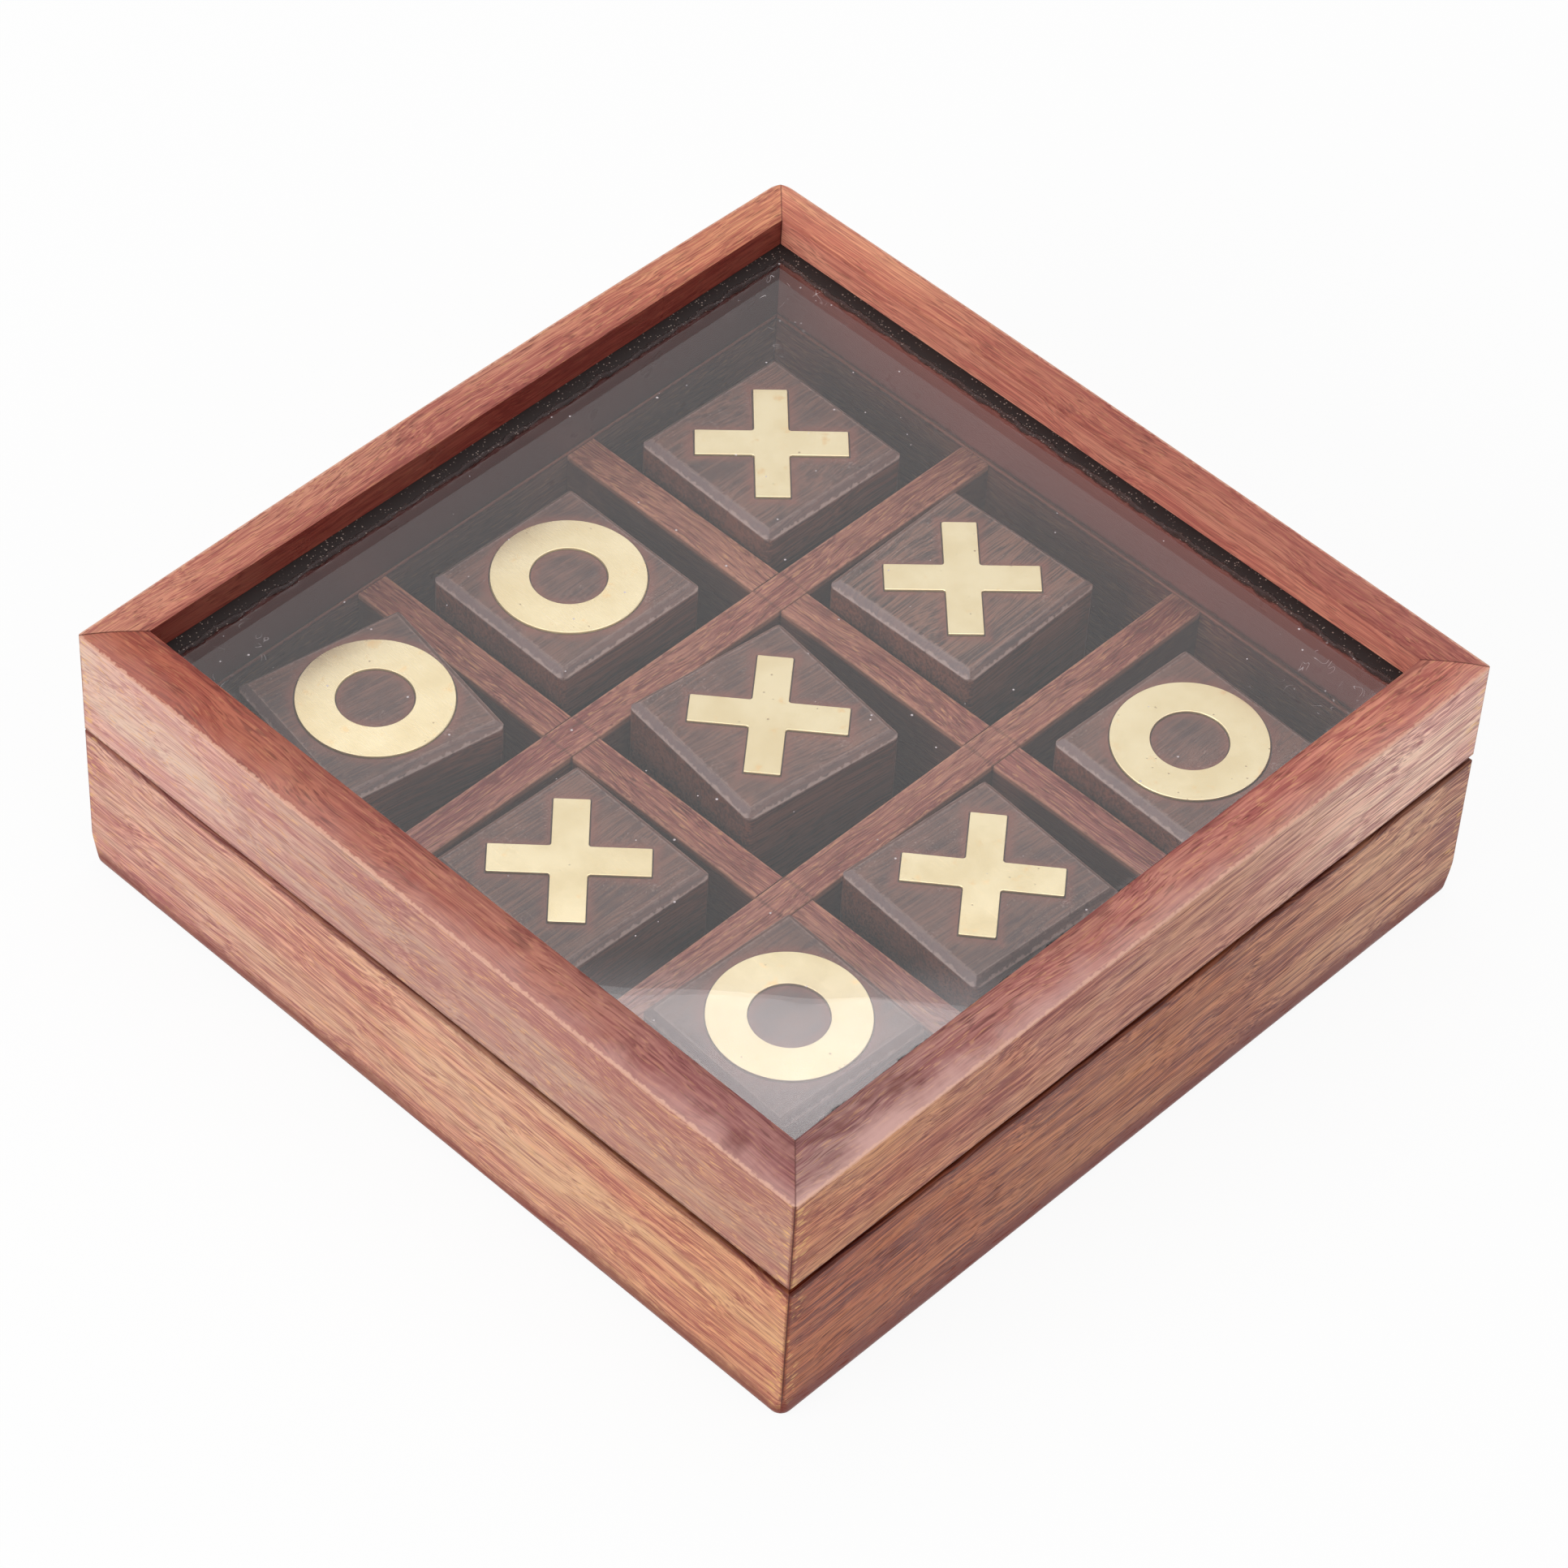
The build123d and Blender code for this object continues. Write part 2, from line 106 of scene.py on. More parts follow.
class Shader:
    """Builds a material's nodes. Inputs are numbers, vectors, colours or other nodes' outputs."""

    def __init__(self, name):
        self.material = bpy.data.materials.new(name)
        self.material.use_nodes = True
        self.tree = self.material.node_tree
        self.tree.nodes.clear()
        coordinates = self.node("TexCoord")
        self.at = self.vector("MULTIPLY", coordinates.outputs["Object"], (millimetres,) * 3)
        self.facing = coordinates.outputs["Normal"]

    def feed(self, socket, value):
        if isinstance(value, bpy.types.NodeSocket):
            self.tree.links.new(value, socket)
        elif value is not None:
            socket.default_value = value

    def node(self, kind, settings=None, **inputs):
        made = self.tree.nodes.new("ShaderNode" + kind)
        for name, value in (settings or {}).items():
            setattr(made, name, value)
        for name, value in inputs.items():
            self.feed(made.inputs[name.replace("_", " ")], value)
        return made

    def math(self, operation, *values):
        made = self.node("Math", {"operation": operation})
        for socket, value in zip(made.inputs, values):
            self.feed(socket, value)
        return made.outputs[0]

    def vector(self, operation, *values):
        made = self.node("VectorMath", {"operation": operation})
        for socket, value in zip(made.inputs, values):
            self.feed(socket, value)
        return made.outputs["Vector"]

    def add(self, *values):
        total = values[0]
        for value in values[1:]:
            total = self.math("ADD", total, value)
        return total

    def times(self, *values):
        total = values[0]
        for value in values[1:]:
            total = self.math("MULTIPLY", total, value)
        return total

    def less(self, a, b):
        return self.math("SUBTRACT", a, b)

    def high(self, *values):
        total = values[0]
        for value in values[1:]:
            total = self.math("MAXIMUM", total, value)
        return total

    def low(self, *values):
        total = values[0]
        for value in values[1:]:
            total = self.math("MINIMUM", total, value)
        return total

    def size(self, value):
        return self.math("ABSOLUTE", value)

    def ramp(self, value, start, end, low=0.0, high=1.0):
        """Smooth step from low at start to high at end. start may be the larger of the two."""
        made = self.node("MapRange", {"interpolation_type": "SMOOTHSTEP"})
        if start > end:
            start, end, low, high = end, start, high, low
        for socket, given in zip(made.inputs, (value, start, end, low, high)):
            self.feed(socket, given)
        return made.outputs[0]

    def part(self, vector, axis):
        return self.node("SeparateXYZ", Vector=vector).outputs["XYZ".index(axis)]

    def parts(self, vector):
        return self.node("SeparateXYZ", Vector=vector).outputs

    def join(self, x, y, z):
        return self.node("CombineXYZ", X=x, Y=y, Z=z).outputs[0]

    def mix(self, share, a, b):
        """Number between a and b."""
        made = self.node("Mix", {"data_type": "FLOAT"})
        for index, value in ((0, share), (2, a), (3, b)):
            self.feed(made.inputs[index], value)
        return made.outputs[0]

    def blend(self, share, a, b, mode="MIX"):
        """Colour between a and b."""
        made = self.node("Mix", {"data_type": "RGBA", "blend_type": mode})
        for index, value in ((0, share), (6, a), (7, b)):
            self.feed(made.inputs[index], value)
        return made.outputs[2]

    def noise(self, at, lump, detail=2.0, rough=0.5, warp=0.0):
        """Noise about 0.5 whose lumps are as large as lump says, in millimetres along each axis."""
        scaled = self.vector("MULTIPLY", at, tuple(1 / size for size in lump))
        settings = {"Scale": 1.0, "Detail": detail, "Roughness": rough, "Distortion": warp}
        return self.node("TexNoise", Vector=scaled, **settings).outputs[0]

    def uneven(self, at, lump, detail=2.0, rough=0.5):
        """The same noise about 0."""
        return self.less(self.noise(at, lump, detail, rough), 0.5)

    def drawn(self, at, length, width, detail=2.0, rough=0.5):
        """The same noise about 0.5, drawn out along X."""
        return self.noise(at, (length, width, width), detail, rough)

    def dashes(self, at, spacing, share, reach=0.45):
        """Separate marks, 1 inside: one in each cell of the given size, in that share of the cells."""
        scaled = self.vector("MULTIPLY", at, tuple(1 / size for size in spacing))
        cells = self.node("TexVoronoi", {"feature": "F1"}, Vector=scaled, Scale=1.0, Randomness=1.0)
        chance = self.parts(cells.outputs["Color"])
        limit = self.times(chance[1], reach)
        inside = self.math("LESS_THAN", cells.outputs["Distance"], limit)
        part_way = self.math("DIVIDE", cells.outputs["Distance"], self.high(limit, 0.001))
        soft = self.ramp(part_way, 1.0, 0.6)
        present = self.math("LESS_THAN", chance[0], share)
        return self.times(inside, soft, present)

    def bump(self, height, metres, strength=1.0):
        return self.node("Bump", Strength=strength, Distance=metres, Height=height).outputs[0]

    def surface(self, colour, roughness, normal=None, **settings):
        made = self.node("BsdfPrincipled")
        self.feed(made.inputs["Base Color"], colour)
        self.feed(made.inputs["Roughness"], roughness)
        self.feed(made.inputs["Normal"], normal)
        for name, value in settings.items():
            self.feed(made.inputs[name.replace("_", " ")], value)
        return made.outputs[0]

    def either(self, share, a, b):
        """Surface between a and b."""
        made = self.node("MixShader")
        for socket, value in zip(made.inputs, (share, a, b)):
            self.feed(socket, value)
        return made.outputs[0]

    def finish(self, shader):
        made = self.node("OutputMaterial", Surface=shader)
        made.is_active_output = True
        return self.material


class Grain(NamedTuple):
    """What the fibres do to a board: all are 0 to 1 numbers."""

    bands: object           # wide golden and red bands, about 0.5
    tone: object            # pale and dark streaks, about 0.5
    pores: object           # short dark pores
    flecks: object          # patches of longer dark dashes
    gold: object            # pale golden dashes
    fine: object            # finest streaks, about 0.5


def fibres(s, at, seed):
    """Grain of a board whose fibres run along X of the given place."""
    at = s.vector("ADD", at, seed)
    sway = s.uneven(at, (45, 16, 16), 1.0)
    wave = s.uneven(at, (10, 5, 5), 1.0)
    aside = s.add(s.times(sway, 7.0), s.times(wave, 1.1))
    moved = s.vector("ADD", at, s.join(0.0, aside, aside))
    bands = s.drawn(moved, 45, 7, 3.0, 0.6)
    streaks = s.drawn(moved, 40, 0.7, 3.0, 0.7)
    fine = s.drawn(moved, 14, 0.24, 1.0)
    dark = s.drawn(s.vector("ADD", moved, (5, 3, 9)), 4.5, 0.2, 0.0)
    dashes = s.drawn(moved, 3.2, 0.42, 0.0)
    crowd = s.drawn(moved, 16, 4, 1.0)
    pale = s.drawn(s.vector("ADD", moved, (17, 31, 7)), 2.4, 0.24, 0.0)
    pores = s.ramp(dark, 0.62, 0.74)
    flecks = s.times(s.ramp(dashes, 0.56, 0.7), s.ramp(crowd, 0.5, 0.66))
    gold = s.ramp(pale, 0.62, 0.72)
    tone = s.add(
        s.times(s.less(bands, 0.5), 1.2),
        s.times(s.less(streaks, 0.5), 2.2),
        s.times(s.less(fine, 0.5), 1.7),
        0.5,
    )
    return Grain(bands, tone, pores, flecks, gold, fine)


class Look(NamedTuple):
    """Colours of a face at its low end, middle and high end, and how strongly each grain shows; the change
    between the three colours is painted light and shade as well as the wood's own tone.
    """

    low: tuple
    middle: tuple
    high: tuple
    contrast: float = 0.3
    pore: float = 0.55
    fleck: float = 0.3
    gold: float = 0.2
    warm: float = 0.5


fleck_tint = srgb(84, 36, 34)
pore_tint = srgb(62, 28, 26)
gold_tint = srgb(232, 178, 122)
red_band = (1.07, 0.92, 0.9, 1)         # what the bands multiply a colour by
golden_band = (0.98, 1.09, 1.02, 1)
streak_depth = (1.1, 1.804, 1.496)      # of the streaks in red, green and blue, at a contrast of 1


def grained(s, grain, look, share):
    """Colour of a face from its grain. share runs from -1 at the low end to 1 at the high end."""
    # From the low end to the high end: painted light and shade along the face, with the wood's own tone
    colour = s.blend(s.ramp(share, -0.85, -0.1), look.low, look.middle)
    colour = s.blend(s.ramp(share, 0.1, 0.85), colour, look.high)
    hue = s.blend(s.ramp(grain.bands, 0.32, 0.68), red_band, golden_band)
    colour = s.blend(look.warm, colour, s.blend(1.0, colour, hue, "MULTIPLY"))
    dark = tuple(math.exp(-depth * look.contrast) for depth in streak_depth) + (1,)
    pale = tuple(math.exp(depth * look.contrast) for depth in streak_depth) + (1,)
    streaks = s.blend(s.ramp(grain.tone, 0.0, 1.0), dark, pale)
    colour = s.blend(1.0, colour, streaks, "MULTIPLY")
    colour = s.blend(s.times(grain.gold, look.gold), colour, gold_tint)
    colour = s.blend(s.times(grain.flecks, look.fleck), colour, fleck_tint)
    return s.blend(s.times(grain.pores, look.pore), colour, pore_tint)


def along(s, at, grain_axis):
    """Place in millimetres, turned so that the fibres run along X."""
    if grain_axis == "X":
        return at
    x, y, z = s.parts(at)
    return s.join(y, x, z)


class Board(NamedTuple):
    """One board of the frame: the direction of its fibres, its own piece of the pattern and its looks.

    The fields from top on are for the rails of the lid.
    """

    fibre: str
    seed: tuple
    outer: Look
    inner: Look
    top: Look = None
    drops: tuple = ()       # outer edge of the rounded top below the highest line: low end, middle, high end
    rubbed_and_sheen: tuple = ()      # how pale the top is painted towards its outer edge, as sheen and rubbed wear, at the low and the high end
    stained: float = 0.0    # how dark its brown stains are away from the front left corner


stain_tint = srgb(104, 48, 44)
sheen_and_rubbed_tint = srgb(212, 168, 160)
glass_side_shade_tint = srgb(176, 126, 122)
lid_arris_tint = srgb(236, 188, 164)
rim_tint = srgb(214, 152, 128)
gap_shade_tint = srgb(128, 56, 42)
end_grain_tint = srgb(238, 188, 118)
arris_shade_tint = srgb(118, 56, 44)
mitre_tint = srgb(74, 28, 24)
foot_tint = srgb(120, 41, 23)
underside_shade_tint = srgb(96, 46, 36)
wood_sheen = 0.2


def frame_wood(name, board, is_lid):
    """Lacquered hardwood of a wall or rail: grain, worn arrises and the mitres, with painted sheen on the
    lid's tops and painted shade below the pane, by the glass, by the gap, at the upright arris and
    underneath.
    """
    s = Shader(name)
    x, y, z = s.parts(s.at)
    reach_x = s.size(x)
    reach_y = s.size(y)
    out = s.high(reach_x, reach_y)
    corner = s.low(reach_x, reach_y)
    share = s.times(x if board.fibre == "X" else y, 1 / half)
    up = s.part(s.facing, "Z")
    top = s.ramp(up, 0.6, 0.85)
    side = s.less(1.0, top)
    inside = s.ramp(out, inner_half + 0.35, inner_half + 0.15)
    patchy = s.uneven(s.at, (8, 8, 8), 3.0, 0.6)
    chips = s.uneven(s.at, (1.2, 1.2, 1.2), 2.0, 0.65)

    # Grain of the outer, upper and inner faces
    grain = fibres(s, along(s, s.at, board.fibre), board.seed)
    colour = grained(s, grain, board.outer, share)
    inner = grained(s, grain, board.inner, share)
    if is_lid:
        colour = s.blend(top, colour, grained(s, grain, board.top, share))
        # Inner faces below the top of the pane, darker: painted shade
        shade_under_pane = s.ramp(z, pane_top - 0.8, pane_top - 2.2)
        inner = s.blend(shade_under_pane, inner, shaded(board.inner.middle, 0.35, 0.3, 0.32))
    colour = s.blend(s.times(inside, side), colour, inner)

    if is_lid:
        # Brown stains, most of them by the front left corner
        front = s.ramp(s.add(x, y), -70.0, -150.0)
        blots = s.ramp(s.noise(s.at, (16, 9, 9), 3.0, 0.6), 0.52, 0.68)
        colour = s.blend(s.times(blots, top, s.mix(front, board.stained, 0.95)), colour, stain_tint)

        # Top: painted sheen, with rubbed wear, towards its outer edge, and painted shade along the glass
        outward = s.times(s.less(out, inner_half), 1 / (half - inner_half))
        # Painted sheen of the lacquer, with rubbed wear, paler towards the outer edge
        rubbed_and_sheen = s.mix(s.ramp(share, -0.95, 0.6), *board.rubbed_and_sheen)
        by_edge = s.ramp(s.add(outward, s.times(patchy, 0.9)), 0.4, 1.1)
        colour = s.blend(s.times(rubbed_and_sheen, by_edge, top), colour, sheen_and_rubbed_tint)
        # Painted shade along the inner edge of the top, by the glass
        shade_by_glass = s.ramp(s.add(outward, s.times(chips, 0.1)), 0.2, 0.02)
        colour = s.blend(s.times(shade_by_glass, top, 0.42), colour, glass_side_shade_tint, "MULTIPLY")

        # Worn outer arris, which follows the rail's own crown
        low, middle, high = board.drops
        tilt = (high - low) / 2
        sag = (high + low) / 2 - middle
        bow = s.add(middle, s.times(share, tilt), s.times(share, share, sag))
        off = s.high(s.size(s.less(half - 0.05, out)), s.size(s.less(s.add(z, bow), lid_top - 0.05)))
        worn = s.ramp(s.add(off, chips), 0.42, 0.12)
        colour = s.blend(s.times(worn, 0.6), colour, lid_arris_tint)

        # Lower edge, above the wedge-shaped gap, darkened as painted shade from the gap
        gape = s.add(back_gap, s.times(s.less(half, y), (front_gap - back_gap) / (2 * half)))
        above = s.less(z, s.add(gape, base_height))
        edge = s.ramp(s.add(above, s.times(chips, 1.2)), 1.1, 0.2)
    else:
        # Upper edge, darkened under the lid as painted shade from the gap, handled corners and the pale line
        # round the rim
        edge = s.ramp(s.add(s.less(base_height, z), s.times(chips, 1.2)), 1.4, 0.3)
        worn = s.times(s.ramp(s.add(s.less(half, corner), s.times(chips, 2.2)), 0.9, 0.3), 0.4)
        off = s.high(s.size(s.less(out, inner_half)), s.size(s.less(base_height, z)))
        rim = s.ramp(s.add(off, s.times(chips, 1.2)), 0.6, 0.2)
        colour = s.blend(s.times(rim, 0.7), colour, rim_tint)
    # Painted shade from the gap between lid and base
    colour = s.blend(s.times(edge, 0.7), colour, gap_shade_tint, "MULTIPLY")

    # Cut ends of the fibres by the corners, painted shade along the rounded upright arris, and the mitre's
    # dark line
    ends = s.dashes(s.vector("ADD", s.at, board.seed), (1.8, 1.8, 0.55), 0.85, 0.75)
    by_corner = s.ramp(s.add(corner, s.times(patchy, 7.0)), half - 3.6, half - 1.4)
    colour = s.blend(s.times(by_corner, ends, side, 0.6), colour, end_grain_tint)
    # Painted shade along the rounded upright arris
    arris = s.ramp(s.add(corner, chips), half - 0.75, half - 0.3)
    colour = s.blend(s.times(arris, side, 0.6), colour, arris_shade_tint)
    mitre = s.ramp(s.size(s.less(reach_x, reach_y)), 0.26, 0.06)
    colour = s.blend(s.times(mitre, s.mix(top, 0.8, 0.55)), colour, mitre_tint)

    # Darker towards the foot, and painted shade on the faces that look down
    if not is_lid:
        level = s.add(z, s.times(patchy, 4.0), s.times(chips, 1.5))
        reach, strength = (6.2, 0.95) if board.fibre == "X" else (5.3, 0.8)
        colour = s.blend(s.times(s.ramp(level, reach, reach - 2.8), strength), colour, foot_tint)
    under = s.ramp(up, -0.6, -0.85)
    colour = s.blend(s.times(under, 0.6), colour, underside_shade_tint)

    roughness = s.add(0.33, s.times(patchy, 0.35), s.times(grain.pores, 0.2), s.times(worn, 0.15))
    height = s.add(
        s.times(grain.fine, 0.35),
        s.times(grain.pores, -0.7),
        s.times(grain.tone, 0.2),
        s.times(patchy, 0.8),
    )
    normal = s.bump(height, 0.00005, 0.4)
    return s.finish(s.surface(colour, roughness, normal, Specular_IOR_Level=wood_sheen))


strip_arris_tint = srgb(206, 148, 122)
seam_tint = srgb(64, 30, 26)
cell_shade_tint = srgb(70, 40, 36)


def plain_wood(name, fibre, seed, look, dull, is_strip):
    """Wood of a strip or the floor panel, with chipped, paler arrises and painted shade down in the cells on
    the strips.
    """
    s = Shader(name)
    x, y, z = s.parts(s.at)
    lengthwise, across = (x, y) if fibre == "X" else (y, x)
    grain = fibres(s, along(s, s.at, fibre), seed)
    colour = grained(s, grain, look, s.times(lengthwise, 1 / inner_half))
    patchy = s.noise(s.at, (6, 6, 6), 3.0, 0.6)
    patches = s.ramp(patchy, 0.52, 0.72)
    colour = s.blend(s.times(patches, 0.6), colour, shaded(look.middle, 0.45, 0.38, 0.4))
    if is_strip:
        # Worn arrises, the laps where strips cross, and painted shade down in the cells
        chips = s.uneven(s.at, (1.3, 1.3, 0.8), 2.0, 0.65)
        off = s.less(strip_half, s.size(s.less(s.size(across), strip_centre)))
        near = s.ramp(s.add(off, s.times(chips, 1.6)), 0.5, 0.1)
        level = s.ramp(z, base_height - 1.8, base_height - 1.0)
        colour = s.blend(s.times(near, level, 0.6), colour, strip_arris_tint)
        lap = s.less(s.size(s.less(s.size(lengthwise), strip_centre)), strip_half)
        seam = s.ramp(s.add(s.size(lap), s.times(chips, 0.8)), 0.45, 0.15)
        colour = s.blend(s.times(seam, 0.35), colour, seam_tint)
        colour = s.blend(s.times(s.less(1.0, level), 0.75), colour, cell_shade_tint)
    roughness = s.add(dull, s.times(s.less(patchy, 0.5), 0.25), s.times(grain.pores, 0.2))
    normal = s.bump(s.add(s.times(grain.fine, 0.5), s.times(grain.pores, -0.8)), 0.00004, 0.4)
    return s.finish(s.surface(colour, roughness, normal, Specular_IOR_Level=wood_sheen))


def middle_of(name):
    """Middle of a node's box, in millimetres."""
    low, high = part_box(name)
    return (low + high) / 2 * millimetres


def turn_of(name):
    """Turn of a loose block or cross, in radians, from the largest of its upright faces."""
    upright = [face for face in nodes[name].data.polygons if abs(face.normal.z) < 0.01]
    largest = max(upright, key=lambda face: face.area)
    quarter = math.pi / 2
    turn = math.atan2(largest.normal.y, largest.normal.x) % quarter
    return turn - quarter if turn > quarter / 2 else turn


def local(s, middle, turn):
    """Place on a block: across its sides from its middle, and height above the table."""
    x, y, _ = s.parts(s.vector("SUBTRACT", s.at, tuple(middle)))
    along_x = s.add(s.times(x, math.cos(turn)), s.times(y, math.sin(turn)))
    along_y = s.less(s.times(y, math.cos(turn)), s.times(x, math.sin(turn)))
    return along_x, along_y, s.part(s.at, "Z")


def beyond_mark(s, name):
    """How far a place lies outside a ring or cross, in millimetres, below 0 within it."""
    if name.startswith("ring"):
        x, y, _ = local(s, middle_of(name), 0.0)
        far = s.math("SQRT", s.add(s.times(x, x), s.times(y, y)))
        return s.high(s.less(far, mark_half), s.less(ring_bore_half, far))
    x, y, _ = local(s, middle_of(name), turn_of(name))
    x = s.size(x)
    y = s.size(y)
    first = s.high(s.less(x, mark_half), s.less(y, cross_arm_half))
    second = s.high(s.less(x, cross_arm_half), s.less(y, mark_half))
    return s.low(first, second)


dark_cool = srgb(64, 42, 40)
dark_warm = srgb(84, 48, 40)
pale_cool = srgb(100, 70, 64)
pale_warm = srgb(120, 74, 58)
block_streaks = (srgb(40, 24, 23), srgb(132, 92, 74))
block_sides = (srgb(66, 32, 26), srgb(132, 76, 58))
block_pore_tint = srgb(30, 17, 16)
halo_tint = srgb(136, 74, 58)
recess_tint = srgb(30, 16, 12)
chamfer_highlight_tint = srgb(136, 116, 118)
upper_arris_tint = srgb(150, 126, 118)
lower_arris_tint = srgb(186, 160, 150)
dust_tint = srgb(176, 158, 152)
scratch_tint = srgb(150, 128, 122)


def block_wood(cell, mark, seed, warm, grainy):
    """Dark stained block, sanded, with a reddish halo where the brass was let in.

    warm makes it redder and grainy brings out its grain, both from 0 to 1.
    """
    s = Shader("block_wood_" + cell)
    x, y, z = local(s, middle_of("block_" + cell), turn_of("block_" + cell))
    place = s.join(x, y, z)
    grain = fibres(s, place, seed)
    cloud = s.ramp(s.noise(s.vector("ADD", place, seed), (9, 9, 9), 3.0, 0.6), 0.35, 0.65)
    colour = s.blend(cloud, s.blend(warm, dark_cool, dark_warm), s.blend(warm, pale_cool, pale_warm))
    tone = s.ramp(grain.tone, 0.1, 0.9)
    colour = s.blend(s.mix(grainy, 0.22, 0.85), colour, s.blend(tone, *block_streaks))
    colour = s.blend(s.times(grain.pores, s.mix(grainy, 0.2, 0.6)), colour, block_pore_tint)

    # Halo and dark line round the brass
    beyond = beyond_mark(s, mark + "_" + cell)
    smear = s.noise(place, (2.4, 2.4, 2.4), 3.0, 0.6)
    top = s.ramp(z, block_top - 0.2, block_top - 0.05)
    halo = s.ramp(s.add(beyond, s.times(smear, 2.4)), 3.4, 0.6)
    colour = s.blend(s.times(halo, top, 0.7), colour, halo_tint)
    colour = s.blend(s.times(s.ramp(beyond, 0.28, 0.12), top, 0.85), colour, recess_tint)

    # Chamfer with a painted highlight, palest on the left, with its worn arrises, and the sides below it
    sides = s.high(s.size(x), s.size(y))
    level = s.less(block_top, z)
    left = s.ramp(s.less(s.times(x, -1.0), s.size(y)), -0.3, 0.3)
    outer = s.ramp(sides, block_half - chamfer - 0.05, block_half - chamfer + 0.1)
    bevel = s.times(outer, s.ramp(level, chamfer + 0.15, chamfer))
    colour = s.blend(s.times(bevel, s.mix(left, 0.25, 0.6)), colour, chamfer_highlight_tint)
    chips = s.times(s.uneven(place, (0.9, 0.9, 0.9), 2.0, 0.65), 1.3)
    upper = s.high(s.size(s.less(sides, block_half - chamfer)), s.size(level))
    colour = s.blend(s.times(s.ramp(s.add(upper, chips), 0.34, 0.08), 0.45), colour, upper_arris_tint)
    lower = s.high(s.size(s.less(sides, block_half)), s.size(s.less(level, chamfer)))
    colour = s.blend(s.times(s.ramp(s.add(lower, chips), 0.4, 0.1), 0.6), colour, lower_arris_tint)
    below = s.ramp(level, chamfer, chamfer + 0.4)
    colour = s.blend(s.times(below, 0.65), colour, s.blend(tone, *block_sides))

    # Dust and scratches on the top
    dust = s.ramp(s.noise(s.vector("ADD", place, (3, 5, 8)), (0.3, 0.3, 0.3), 1.0), 0.62, 0.74)
    dusty = s.ramp(s.noise(place, (7, 7, 7), 2.0), 0.4, 0.65)
    colour = s.blend(s.times(dust, dusty, top, 0.45), colour, dust_tint)
    scratched = s.noise(s.vector("ADD", place, (40, 9, 3)), (0.3, 9, 9), 2.0, 0.6)
    scratches = s.ramp(scratched, 0.56, 0.75)
    colour = s.blend(s.times(scratches, top, 0.2), colour, scratch_tint)
    roughness = s.add(0.4, s.times(s.less(smear, 0.5), 0.35), s.times(scratches, 0.15))
    height = s.add(s.times(grain.fine, 0.3), s.times(grain.pores, -0.4), s.times(cloud, 0.8))
    return s.finish(s.surface(colour, roughness, s.bump(height, 0.00001, 0.2)))


dark_brass = srgb(227, 208, 165)
pale_brass = srgb(235, 219, 180)
brass_stain = srgb(226, 182, 118)
brass_pit = srgb(120, 84, 44)
side_highlight_tint = srgb(252, 230, 172)


def mark_brass(name, seed, dull, shade):
    """Thin brass, handled: faint stains, pits and fine scratches, and paler sides as a painted highlight.

    dull is its roughness, and shade is what its colour is multiplied by.
    """
    s = Shader("brass_" + name)
    at = s.vector("ADD", s.vector("SUBTRACT", s.at, tuple(middle_of(name))), seed)
    cloud = s.noise(at, (9, 9, 9), 3.0, 0.55)
    stain = s.ramp(s.noise(s.vector("ADD", at, (11, 5, 2)), (3.5, 3.5, 3.5), 3.0, 0.65), 0.6, 0.78)
    pits = s.dashes(at, (0.9, 0.9, 0.9), 0.12, 0.3)
    lines = s.ramp(s.noise(at, (0.16, 7, 7), 2.0, 0.6), 0.58, 0.75)
    side = s.ramp(s.part(s.facing, "Z"), 0.8, 0.3)
    colour = s.blend(s.ramp(cloud, 0.3, 0.7), shaded(dark_brass, shade), shaded(pale_brass, shade))
    colour = s.blend(s.times(stain, 0.55), colour, brass_stain)
    colour = s.blend(s.times(pits, 0.5), colour, brass_pit)
    # Paler sides of the marks: painted highlight along their edges
    colour = s.blend(s.times(side, 0.8), colour, side_highlight_tint)
    uneven = s.add(s.less(cloud, 0.5), stain, lines)
    roughness = s.add(dull, s.times(uneven, 0.05), s.times(side, 0.4))
    x, y, _ = s.parts(at)
    lean = s.times(s.add(x, y), -brass_lean)
    height = s.add(lean, s.times(lines, 0.0004), s.times(pits, -0.004), s.times(cloud, 0.004))
    return s.finish(s.surface(colour, roughness, s.bump(height, 0.001), Metallic=1.0))


def hinge_brass():
    """Stamped brass of the hinges and screws, duller than the marks, browned in patches."""
    s = Shader("brass_hinge")
    cloud = s.noise(s.at, (3, 3, 3), 3.0, 0.6)
    drawn = s.drawn(s.at, 6, 0.14, 2.0, 0.6)
    pits = s.dashes(s.at, (0.7, 0.7, 0.7), 0.2, 0.3)
    colour = s.blend(s.ramp(cloud, 0.3, 0.7), srgb(196, 158, 92), srgb(226, 196, 132))
    colour = s.blend(s.times(s.ramp(cloud, 0.58, 0.75), 0.5), colour, srgb(132, 92, 48))
    colour = s.blend(s.times(pits, 0.6), colour, srgb(84, 56, 30))
    roughness = s.add(0.27, s.times(s.less(cloud, 0.5), 0.3), s.times(s.less(drawn, 0.5), 0.15))
    normal = s.bump(s.add(s.times(drawn, 0.5), s.times(pits, -0.8)), 0.00002, 0.5)
    return s.finish(s.surface(colour, roughness, normal, Metallic=1.0))


glass_tint = srgb(252, 251, 251)
film_and_glare_tint = srgb(216, 204, 206)
dark_band_tint = srgb(30, 20, 19)
crumb_tint = srgb(176, 160, 150)


